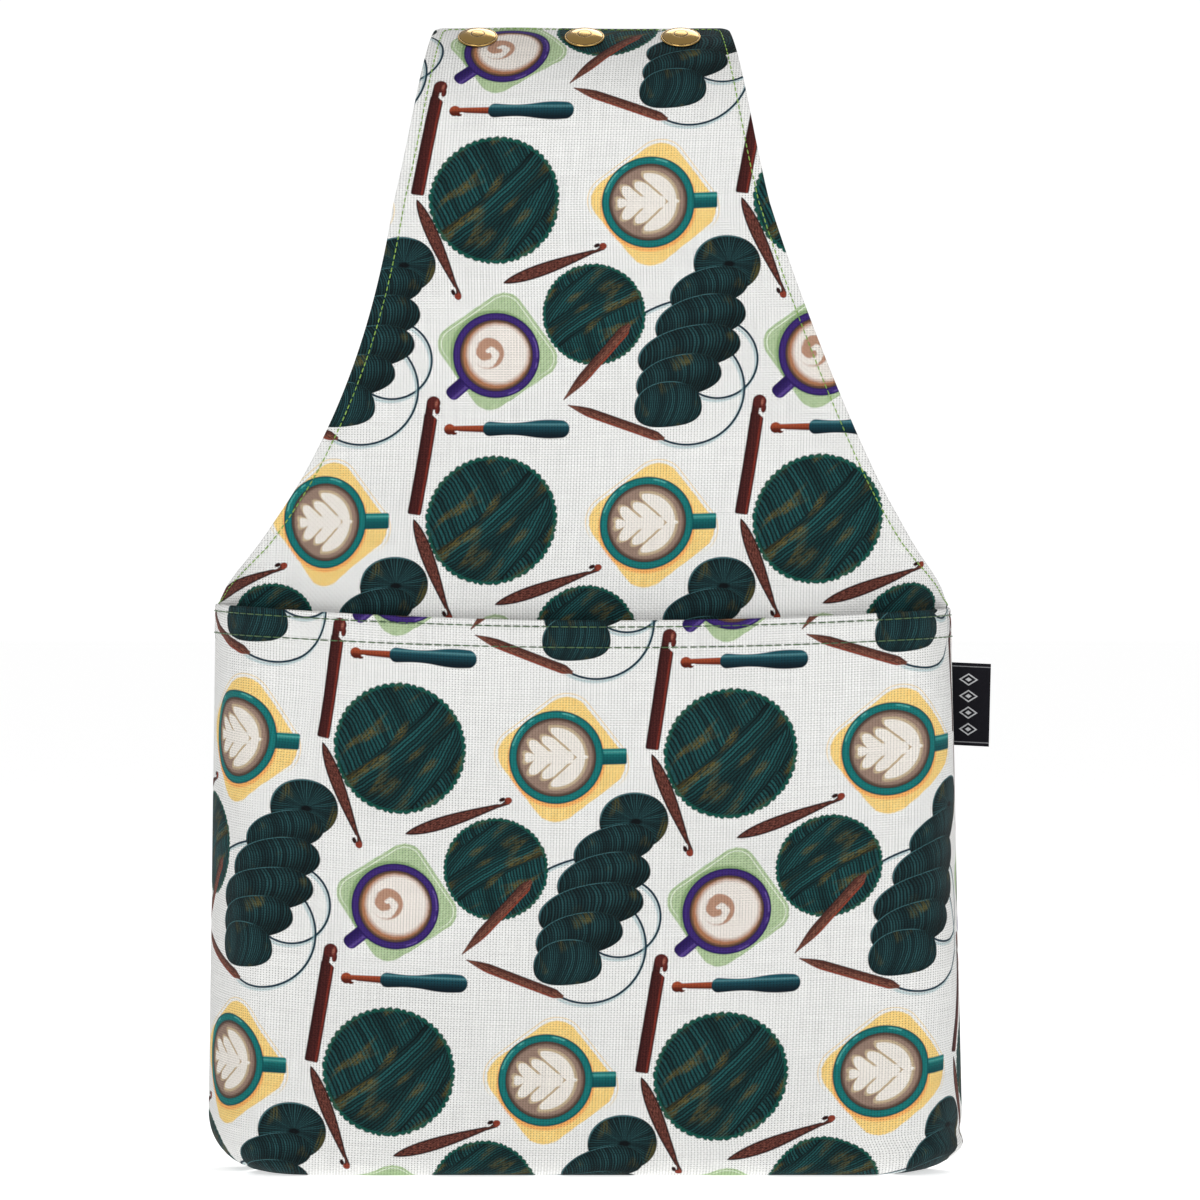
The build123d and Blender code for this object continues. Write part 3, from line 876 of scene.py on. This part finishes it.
def draw_mugs(colour, p):
    """The two mugs seen from above, each with its handle along its own x."""
    x, y = local(p, (58.9, -1.1), 1.6)
    teal = combine(x, y, 0.0)
    x, y = local(p, (0.1, -60.3), 221.6)
    purple = combine(x * 1.08, y * 1.08, 1.0)
    other = (teal.vector("MULTIPLY", (1.0, 1.0, 0.0)).vector("LENGTH", out=1) - 30.0).inside(0.01)
    mug = mix_vector(other, teal, purple)
    x, y, which = mug.parts()
    far = hypotenuse(x, y)
    glaze = mix(which, rgb(22, 116, 114), rgb(60, 40, 112))
    deep_glaze = mix(which, rgb(10, 78, 82), rgb(38, 22, 84))
    shine = mix(which, rgb(92, 180, 172), rgb(108, 86, 160))
    fall = (18.6 - hypotenuse(x - 0.1, y + 0.9)).ramp(-0.4, 0.9)
    colour = mix(fall * 0.75, colour, mix(which, rgb(242, 158, 84), rgb(116, 150, 96)))
    handle = rounded_box(x - 20.5 + which * 0.4, y, 6.0, 3.05, which * 1.7 + 0.8)
    grip = mix((y + 2.0).ramp(0.0, 4.6), deep_glaze, glaze)
    grip = mix((0.5 - (y - 1.7).abs()).inside(0.6) * 0.5, grip, shine)
    colour = mix(handle.inside(0.4), colour, grip)
    band = mix((far - 16.2).abs().ramp(0.5, 1.6), glaze, deep_glaze)
    turned = y.math("ARCTAN2", x)
    for heading, reach in ((2.62, 0.26), (2.16, 0.07), (1.28, 0.15)):
        stroke = (reach - (turned - heading).abs()).inside(0.05) * (0.32 - (far - 16.8).abs()).inside(0.4)
        band = mix(stroke * 0.7, band, shine)
    colour = mix((17.8 - far).inside(0.4), colour, band)
    coffee = mix(which, rgb(150, 126, 112), rgb(172, 118, 84))
    coffee = mix(far.ramp(13.0, 15.0), coffee, rgb(92, 74, 66))
    cloud = mug.noise(0.35) - 0.5
    petal = x + y.abs() * 1.1 + cloud * 0.8
    swing = ((petal - 0.3) * (pi / 7.4)).sin().abs()
    broad = (petal - 11.2).inside(1.5)
    short = (petal - 0.3).inside(0.5) * (7.5 - petal).inside(0.5)
    leaf_reach = 7.0 + swing.over(broad).power(0.5) * 4.3 - short * 2.2
    deep = leaf_reach - hypotenuse(x + 0.5, y) + (0.8 - hypotenuse(x - 11.4, y * 1.6)).ramp(-0.8, 0.8) * 1.4
    groove = (0.27 - swing).inside(0.08) * (y.abs() - 2.3).inside(0.8) * (9.5 - petal).inside(0.5)
    coffee = mix((deep + 1.1).inside(0.8) * (1.0 - which) * 0.85, coffee, rgb(204, 184, 150))
    leaf = deep.inside(0.5) * (1.0 - groove)
    swirl = (hypotenuse(x - 1.9, y + 2.9) * 0.85 + (y + 2.9).math("ARCTAN2", x - 1.9) + cloud * 2).sin()
    round_foam = (12.4 - hypotenuse(x + 0.9, y) + cloud).inside(2.2)
    eye = disc(x - 1.9, y + 2.9, 6.5, 0.7)
    round_foam = round_foam * (1.0 - eye * (swirl + 0.35).inside(0.6) * 0.85)
    foam = leaf + (round_foam - leaf) * which
    drink = mix(foam * 0.93, coffee, rgb(242, 237, 230))
    drink = mix((far - 13.6).ramp(-0.4, 1.0) * 0.6, drink, rgb(66, 48, 40))
    return mix((14.9 - far).inside(0.35), colour, drink)


SKEIN = (
    (88.6, -25.2, 12.9, 11.0, 0), (81.0, -34.6, 15.4, 7.6, 17), (77.6, -46.2, 17.8, 8.6, 15),
    (73.2, -58.0, 20.0, 8.6, 13), (69.2, -68.8, 16.6, 8.2, 14), (65.4, -79.4, 12.9, 8.8, 5),
)


def draw_skein(colour, p):
    """A twisted hank: a knot at its top, and below it turns that each lie over the one before."""
    turn_at = None
    cover = None
    for n, (cx, cy, half_x, half_y, turn) in enumerate(SKEIN):
        x, y = local(p, (cx, cy), turn)
        x, y = x / half_x, y / half_y
        y = y + x * x * (0.0 if n == 0 else 0.16)
        square = 2.3 if n else 2.06
        reach = x.abs().power(square) + y.abs().power(square)
        share = (1.0 - reach).inside(0.06)
        mine = combine(x, y, float(n))
        turn_at = mine if n == 0 else mix_vector(share, turn_at, mine)
        cover = share if n == 0 else cover.over(share)
    x, y, which = turn_at.parts()
    knot = (0.5 - which).inside(0.01)
    square = 2.3 - knot * 0.24
    reach = x.abs().power(square) + y.abs().power(square)
    dark, light = rgb(3, 11, 16), rgb(37, 77, 80)
    wobble = combine(x * 1.4, y * 0.5, which).noise(1.6) * 4
    lie = x + y * y * 0.20 - y * 0.16
    body = strands(lie, 0.064, wobble, dark, light)
    spoke = (y - 0.02).math("ARCTAN2", x - 0.06)
    body = mix(knot, body, strands(spoke, 0.105, wobble, dark, light))
    fleck = combine(lie * 22.0, y * 1.5).noise(1.0)
    patch = combine(x * 1.2, y * 0.5, which * 3.7).noise(1.4, 1.0)
    body = mix(patch.ramp(0.57, 0.72) * fleck.ramp(0.35, 0.6) * 0.6, body, rgb(106, 98, 50))
    roundness = (1.0 - reach).over(0.0).power(0.42)
    last = (which - 4.5).inside(0.01)
    below = (y + 0.42).ramp(-0.1, 0.8).over(knot.over(last))
    body = shade(body, 0.30 + 0.90 * roundness * (0.22 + 0.78 * below))
    rim = (reach - 0.90).inside(0.06) * (y + 0.1).ramp(0.0, 0.4) * (0.62 - x).ramp(0.0, 0.35)
    body = mix(rim * 0.75, body, rgb(70, 116, 122))
    hollow = disc(x - 0.06, (y + 0.02) * 1.5, 0.17, 0.1) * knot
    return mix(cover, colour, mix(hollow, body, rgb(3, 12, 16)))


# Each coaster: its middle, its turn, half its side, its corners' radius, its two tints, and its drawn line.
COASTERS = (
    ((60.9, -1.9), 38.6, 19.6, 9.0, rgb(250, 217, 134), rgb(242, 198, 108), -1.3, rgb(242, 214, 158)),
    ((0.6, -58.7), 34.8, 18.4, 7.5, rgb(182, 203, 160), rgb(154, 182, 134), 1.3, rgb(236, 242, 226)),
)
# Each arc of the cable: its middle, its radius, where it points and half its spread in degrees.
CABLES = (
    ((84.4, -62.1), 15.2, -28, 100), ((73.0, -73.6), 21.5, -36, 82), ((79.6, -85.7), 47.5, 108, 19),
)


def draw_print(p):
    """The whole print's colour at a place on the cloth."""
    colour = CANVAS
    for coaster in COASTERS:
        colour = draw_coaster(colour, p, *coaster)
    for arc in CABLES:
        colour = draw_cable(colour, p, *arc)
    colour = draw_balls(colour, p)
    colour = draw_needle(colour, p, (38.3, -63.0), 49.2, 19.2, 2.05, 13.0)
    colour = draw_needle(colour, p, (45.9, -86.2), -19.7, 19.6, 1.85, 10.0)
    colour = draw_skein(colour, p)
    colour = draw_mugs(colour, p)
    colour = draw_spindle(colour, p, (-21.2, -19.1), -67.2, 21.2, 2.5, -1)
    colour = draw_spindle(colour, p, (23.0, -25.3), 19.4, 21.2, 2.5, 1)
    colour = draw_thick_hook(colour, p)
    return draw_handled_hook(colour, p)


# ---- cloth and thread
def weave(p, across, up):
    """A plain weave: its height, its threads' unevenness, and 1 in the pinholes between them."""
    x, y, _ = p.parts()
    warp, weft = (x * (pi / across)).sin(), (y * (pi / up)).sin()
    open_share = 1.0 - (warp.abs() + weft.abs()).ramp(0.15, 1.10)
    height = (warp * weft).math("MULTIPLY_ADD", 0.5, 0.5) * (1.0 - open_share)
    slub = combine(x * 1.35, y * 0.06).noise(1.0, 3.0) + combine(x * 0.06, y * 1.35).noise(1.0, 3.0)
    return height, slub - 1.0, open_share


def canvas_material():
    material, shader = start_material("printed_canvas", 0.86)
    p = cloth_marks(shader)
    height, slub, hole = weave(p, 1.13, 0.94)
    colour = draw_print(p)
    # painted light and shade: the weave's crowns lighter, its pinholes darker; slub is the yarn's own uneven
    # tone
    light = height.math("MULTIPLY_ADD", 0.10, 0.893) + slub * 0.26 - hole * 0.78
    finish_shader(shader, shade(colour, light), height + slub * 1.2, 0.0002, 0.7,
                  Sheen_Weight=0.03, Sheen_Roughness=0.6, Specular_IOR_Level=0.12)
    return material


def lining_material():
    material, shader = start_material("lining_cotton", 0.9)
    p = cloth_marks(shader)
    height, slub, hole = weave(p, 0.5, 0.5)
    colour = mix((slub + 0.5).clamp(), rgb(222, 220, 212), rgb(244, 243, 238))
    # painted shade: the pinholes are darker
    finish_shader(shader, shade(colour, 1.0 - hole * 0.25), height + slub, 0.00015, 0.7,
                  Sheen_Weight=0.1, Specular_IOR_Level=0.2)
    return material


def thread_material(name, light, dark, twist_shade):
    """Two-ply polyester thread: a twist that runs along each stitch, in relief and in painted shade, and tone
    that drifts along the row.
    """
    material, shader = start_material(name, 0.5)
    x, y, _ = cloth_marks(shader).parts()
    ply = (x * 5.2 + y * 9.0).sin()
    tone = combine(x * 0.11, 0.0).noise(1.0, 2.0)
    colour = mix(tone.ramp(0.3, 0.7), dark, light)
    # painted shade: darker stripes that follow the ply's twist
    colour = mix((ply - 0.1).ramp(0.0, 0.9) * 0.45, colour, twist_shade)
    finish_shader(shader, colour, ply, 0.0001, 0.6, Sheen_Weight=0.2)
    return material


def metal_material(name, light, dark, roughness, scale):
    """Plated metal with darker patina in patches and fine scratches."""
    material, shader = start_material(name, roughness, 1.0)
    p = place_in(shader)
    patina = p.noise(260.0 * scale, 4.0, 0.6)
    fine = p.noise(2400.0 * scale, 2.0)
    uneven = (patina * 0.28 + fine * 0.12).math("ADD", roughness - 0.16, clamp=True)
    feed(shader.inputs["Roughness"], uneven)
    finish_shader(shader, mix(patina.ramp(0.36, 0.66), light, dark), fine + patina * 0.8, 0.00004, 0.6)
    return material


def cap_material():
    """Antique brass whose grooves are darker than its crowns; the wear goes by each ring's place."""
    material, shader = start_material("antique_brass_cap", 0.3, 1.0)
    worn, _, _ = cloth_marks(shader).parts()
    patina = place_in(shader).noise(330.0, 4.0, 0.6)
    colour = mix((worn + (patina - 0.5) * 0.5).ramp(0.15, 0.90), rgb(34, 22, 10), rgb(198, 162, 98))
    feed(shader.inputs["Roughness"], 0.36 - worn * 0.20 + (patina - 0.5) * 0.14)
    finish_shader(shader, colour, patina, 0.00003, 0.4)
    return material


def label_material():
    """A ribbon woven dark, with a plain border and a row of pale woven diamonds down its middle."""
    material, shader = start_material("woven_label", 0.62)
    x, y, _ = cloth_marks(shader).parts()
    step = (y / 6.4).math("FRACT") - 0.5
    diamond = 0.40 - (x - 6.6).abs() * 0.11 - step.abs()
    ring = (0.045 - (diamond - 0.07).abs()).inside(0.04) * (12.8 - y.abs()).inside(0.1)
    ring = ring.over((diamond - 0.27).inside(0.04) * (12.8 - y.abs()).inside(0.1))
    border = (0.16 - (y.abs() - 14.6).abs()).inside(0.2) * 0.45
    twill = ((x + y) * 9.0).sin()
    fibre = combine(x * 6.0, y * 0.7).noise(1.0, 2.0)
    ground = mix(fibre, rgb(7, 6, 13), rgb(17, 15, 27))
    pale = mix(fibre, rgb(196, 198, 204), rgb(236, 236, 236))
    colour = mix(ring.over(border), ground, pale)
    # painted light and shade: the twill's ribs lighter and darker in colour as well as in relief
    colour = shade(colour, twill.math("MULTIPLY_ADD", 0.08, 0.94))
    finish_shader(shader, colour, twill + fibre + ring * 3, 0.00012, 0.8,
                  Sheen_Weight=0.02, Specular_IOR_Level=0.2)
    return material


# ---- side label
def make_label(name, material):
    """A ribbon folded in half at its outer end and sewn into the side seam by its two cut ends."""
    low, high = [Vector(corner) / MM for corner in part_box("side_label")]
    root, tip = low.x, high.x
    y_mid = (low.y + high.y) / 2
    z_mid, half_z = (low.z + high.z) / 2, (high.z - low.z) / 2
    thick, gap = 0.36, 0.05
    radius = thick + gap / 2
    length = tip - radius - root
    runs = np.linspace(0, length, 26)
    bend = np.linspace(0, pi, 14)[1:-1]
    lie = gap / 2 + 0.10 * np.sin(runs / length * pi) ** 2
    far = np.concatenate([runs, np.full(len(bend), length), runs[::-1]])
    z = np.concatenate([[-half_z, -half_z + 0.25], np.linspace(-half_z + 0.8, half_z - 0.8, 40),
                        [half_z - 0.25, half_z]])
    hem = np.where(np.abs(z) > half_z - 0.3, 0.0, 1.0)
    grids = []
    for off, turn, thinned in ((lie + thick, radius, 0.10), (lie, gap / 2, 0.0)):
        px = np.concatenate([runs, length + turn * np.sin(bend), runs[::-1]])
        py = np.concatenate([-off, -turn * np.cos(bend), off[::-1]])
        x = np.broadcast_to(px, (len(z), len(px)))
        y = py * (1 - thinned * (1 - hem[:, None]))
        sway = 0.42 * np.sin(x / length * 1.4) * np.sin((z[:, None] + 5) / half_z * 1.25)
        out = x * (1 + 0.03 * z[:, None] / half_z) + 0.9 * x / length
        across = y_mid + y + sway * (x / length)
        grids.append(np.stack([root + out, across, z_mid + z[:, None] - 0.05 * x], axis=-1))
    along, up = np.broadcast_arrays(far, z[:, None])
    cloth = np.stack([along, up, 0 * up], axis=-1)
    piece = sheet_solid(name, *grids, cloth, material, "woven_label")
    return piece


# ---- snap caps
# Each ring of the cap: its distance from the middle, its height off the cloth, and how worn it is.
CAP_RINGS = (
    (0.0, 2.20, 0.9), (1.0, 2.19, 0.9), (1.9, 2.15, 0.9), (2.35, 2.10, 0.7), (2.50, 2.06, 0.1),
    (2.65, 2.05, 0.1), (2.8, 2.06, 0.7), (3.4, 1.99, 0.9), (4.2, 1.86, 0.9), (5.0, 1.67, 0.95),
    (5.8, 1.42, 1.0), (6.5, 1.14, 1.0), (6.9, 0.95, 0.7), (7.02, 0.86, 0.0), (7.14, 0.84, 0.0),
    (7.26, 0.90, 0.8), (7.48, 0.86, 1.0), (7.66, 0.70, 1.0), (7.7, 0.45, 0.6), (7.6, 0.16, 0.2),
    (7.3, 0.02, 0.0), (6.4, 0.0, 0.0), (0.0, 0.0, 0.0),
)


def make_cap(name, node, material):
    sides = 72
    turn = radians(SNAP_AT)
    low, high = [Vector(corner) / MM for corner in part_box(node)]
    out = Vector((0, -cos(turn), sin(turn)))
    right = Vector((1, 0, 0))
    up = out.cross(right)
    middle = Vector(((low.x + high.x) / 2, LAP_Y - LAP_R * cos(turn), LAP_Z + LAP_R * sin(turn)))
    points, faces, worn = [], [], []
    for radius, height, wear in CAP_RINGS[1:-1]:
        for k in range(sides):
            a = 2 * pi * k / sides
            points.append(middle + right * radius * cos(a) + up * radius * sin(a) + out * (height + 0.03))
            worn.append((wear, 0, 0))
    rings = len(CAP_RINGS) - 2
    for i in range(rings - 1):
        for k in range(sides):
            a, b = i * sides + k, i * sides + (k + 1) % sides
            faces.append((a, a + sides, b + sides, b))
    for ring, at in ((CAP_RINGS[0], 0), (CAP_RINGS[-1], rings - 1)):
        points.append(middle + out * (ring[1] + 0.03))
        worn.append((ring[2], 0, 0))
        for k in range(sides):
            a, b = at * sides + k, at * sides + (k + 1) % sides
            faces.append((a, b, len(points) - 1) if at == 0 else (b, a, len(points) - 1))
    return make_piece(name, np.array(points), faces, material, np.array(worn))


# ---- putting the bag together
canvas = canvas_material()
lining = lining_material()
# A thread's last colour is the painted shade laid in stripes along its twist.
lime_thread = thread_material("lime_thread", rgb(150, 190, 72), rgb(112, 158, 58), rgb(70, 110, 40))
hem_thread = thread_material("green_thread", rgb(78, 116, 62), rgb(50, 84, 46), rgb(26, 46, 26))
brass = metal_material("antique_brass", rgb(188, 150, 88), rgb(84, 62, 34), 0.42, 1.0)
steel = metal_material("spring_steel", rgb(206, 206, 204), rgb(140, 140, 142), 0.34, 1.4)
cap_brass = cap_material()
label_cloth = label_material()

POCKET_LIE = Lie(
    start=(68.4, -0.2), across=(0.9883, 0.0114), up=(-0.0241, 1.0031),
    fan=(0.00002, 0.00004), bow=(-0.00002, -0.00035), lean=(0.00007, -0.00006),
)
FRONT_LIE = Lie(
    start=(33.6, -89.6), across=(0.9902, 0.0013), up=(0.0564, 0.9978),
    fan=(0.00006, -0.00004), bow=(0.00004, -0.00006), lean=(-0.00027, 0.00006),
)
BACK_LIE = Lie(
    start=(12.2, 65.3), across=(-1.0206, 0.0107), up=(0.0107, 1.0206), fan=(0, 0), bow=(0, 0), lean=(0, 0),
)


def ride_strap(piece, side):
    """Bakes a piece's placement into its mesh, the same for either side."""
    if side == "front":
        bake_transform(piece)
    else:
        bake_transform(piece)


for side, outside, inside, lie in (
    ("front", FRONT_PANEL, FRONT_LINING, FRONT_LIE), ("back", BACK_PANEL, BACK_LINING, BACK_LIE),
):
    panel = make_panel(side + "_panel_cloth", outside, CLOTH, 0, canvas, "printed_canvas", lie)
    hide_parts(side + "_panel", side + "_strap")
    ride_strap(panel, side)
    backing = make_panel(side + "_lining_cloth", inside, LINING, LINING_MARGIN, lining, "lining_cotton", lie)
    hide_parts(side + "_lining", side + "_strap_lining")
    ride_strap(backing, side)

pocket = make_pocket("front_pocket_cloth", canvas, POCKET_LIE)
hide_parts("front_pocket")
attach(pocket, "bag")
for row, below in zip(("upper", "lower"), HEM_ROWS):
    hem = make_hem_stitch("pocket_hem_thread_" + row, below, hem_thread)
    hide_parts("pocket_hem_stitch_" + row)
    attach(hem, "bag")

for side, layer in (("front", FRONT_PANEL), ("back", BACK_PANEL)):
    thread = make_topstitch(side + "_topstitch", layer, lime_thread)
    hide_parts(side + "_neck_stitch_left", side + "_neck_stitch_right", side + "_strap_stitch")
    ride_strap(thread, side)

label = make_label("folded_label", label_cloth)
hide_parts("side_label")
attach(label, "label")

for place in ("left", "middle", "right"):
    cap = make_cap("brass_cap_" + place, "snap_cap_" + place, cap_brass)
    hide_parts("snap_cap_" + place)
    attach(cap, "front_strap")
    for part, metal in (("socket", brass), ("stud", brass), ("eyelet", brass), ("spring", steel)):
        solid = bpy.data.objects["snap_" + part + "_" + place]
        for slot in solid.material_slots:
            slot.material = metal
